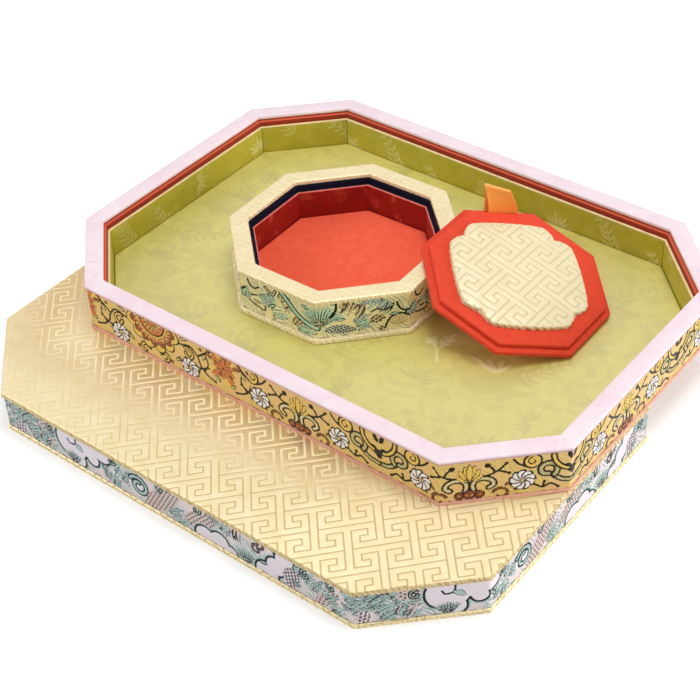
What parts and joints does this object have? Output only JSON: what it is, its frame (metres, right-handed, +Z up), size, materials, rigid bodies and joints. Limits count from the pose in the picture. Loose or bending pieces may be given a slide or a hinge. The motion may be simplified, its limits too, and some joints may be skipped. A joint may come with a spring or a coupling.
{
  "type": "jewelry tray",
  "caption": "Cut-corner brocade jewelry tray standing on its matching cover, with a lidded octagonal bangle box inside; the tray, the box and its lid lift off.",
  "frame": {"origin": "middle of the whole set's footprint, on the surface that the cover stands on", "axes": "+X along the long sides, -Y towards the front where the cover shows, +Z up"},
  "size_m": [0.28, 0.26, 0.0693],
  "materials": {
    "fret_cloth": "cream-gold jacquard with a raised key fret",
    "lilac_brocade": "silver-lilac brocade with turquoise clouds",
    "gold_brocade": "gold brocade with scrolls and flowers",
    "lime_brocade": "yellow-green brocade with turquoise scrolls",
    "wall_board": "grey board, bare inside",
    "pink_damask": "pale pink satin damask",
    "salmon_cloth": "salmon book cloth",
    "red_cloth": "red satin",
    "olive_damask": "olive green satin damask",
    "cream_piping": "cream edge binding",
    "navy_cloth": "navy cloth",
    "coral_piping": "coral edge binding",
    "scarlet_satin": "scarlet satin",
    "lid_red": "orange-red damask",
    "orange_ribbon": "orange satin ribbon"
  },
  "bodies": {
    "cover": {"cover_rim_frame": "fret_cloth", "cover_wall_front_right": "wall_board", "cover_wall_right": "wall_board", "cover_wall_back_right": "wall_board", "cover_wall_back": "wall_board", "cover_wall_back_left": "wall_board", "cover_wall_left": "wall_board", "cover_wall_front_left": "wall_board", "cover_wall_front": "wall_board", "cover_brocade_band": "lilac_brocade", "cover_top_panel": "fret_cloth"},
    "tray": {"tray_base_board": "salmon_cloth", "tray_wall_front_right": "wall_board", "tray_wall_right": "wall_board", "tray_wall_back_right": "wall_board", "tray_wall_back": "wall_board", "tray_wall_back_left": "wall_board", "tray_wall_left": "wall_board", "tray_wall_front_left": "wall_board", "tray_wall_front": "wall_board", "tray_brocade_band": "gold_brocade", "tray_rim_front_right": "pink_damask", "tray_rim_right": "pink_damask", "tray_rim_back_right": "pink_damask", "tray_rim_back": "pink_damask", "tray_rim_back_left": "pink_damask", "tray_rim_left": "pink_damask", "tray_rim_front_left": "pink_damask", "tray_rim_front": "pink_damask", "tray_neck": "red_cloth", "tray_lining_front_right": "olive_damask", "tray_lining_right": "olive_damask", "tray_lining_back_right": "olive_damask", "tray_lining_back": "olive_damask", "tray_lining_back_left": "olive_damask", "tray_lining_left": "olive_damask", "tray_lining_front_left": "olive_damask", "tray_lining_front": "olive_damask", "tray_lining_piping": "cream_piping", "tray_floor_panel": "olive_damask"},
    "bangle_box": {"box_base_board": "fret_cloth", "box_wall_front_right": "wall_board", "box_wall_right": "wall_board", "box_wall_back_right": "wall_board", "box_wall_back": "wall_board", "box_wall_back_left": "wall_board", "box_wall_left": "wall_board", "box_wall_front_left": "wall_board", "box_wall_front": "wall_board", "box_brocade_band": "lime_brocade", "box_rim_frame": "fret_cloth", "box_neck": "navy_cloth", "box_lining": "scarlet_satin", "box_lining_piping": "coral_piping", "box_floor_panel": "scarlet_satin"},
    "box_lid": {"lid_flange": "lid_red", "lid_plate": "lid_red", "lid_fret_pad": "fret_cloth", "lid_ribbon_tab": "orange_ribbon"}
  },
  "joints": [
    {"name": "tray_lift", "type": "slide", "parent": "cover", "child": "tray", "axis": [0, 0, 1], "range_m": [0, 0.06]},
    {"name": "box_lift", "type": "slide", "parent": "tray", "child": "bangle_box", "axis": [0, 0, 1], "range_m": [0, 0.06]},
    {"name": "lid_lift", "type": "slide", "parent": "bangle_box", "child": "box_lid", "axis": [0, 0, 1], "range_m": [0, 0.06]}
  ]
}
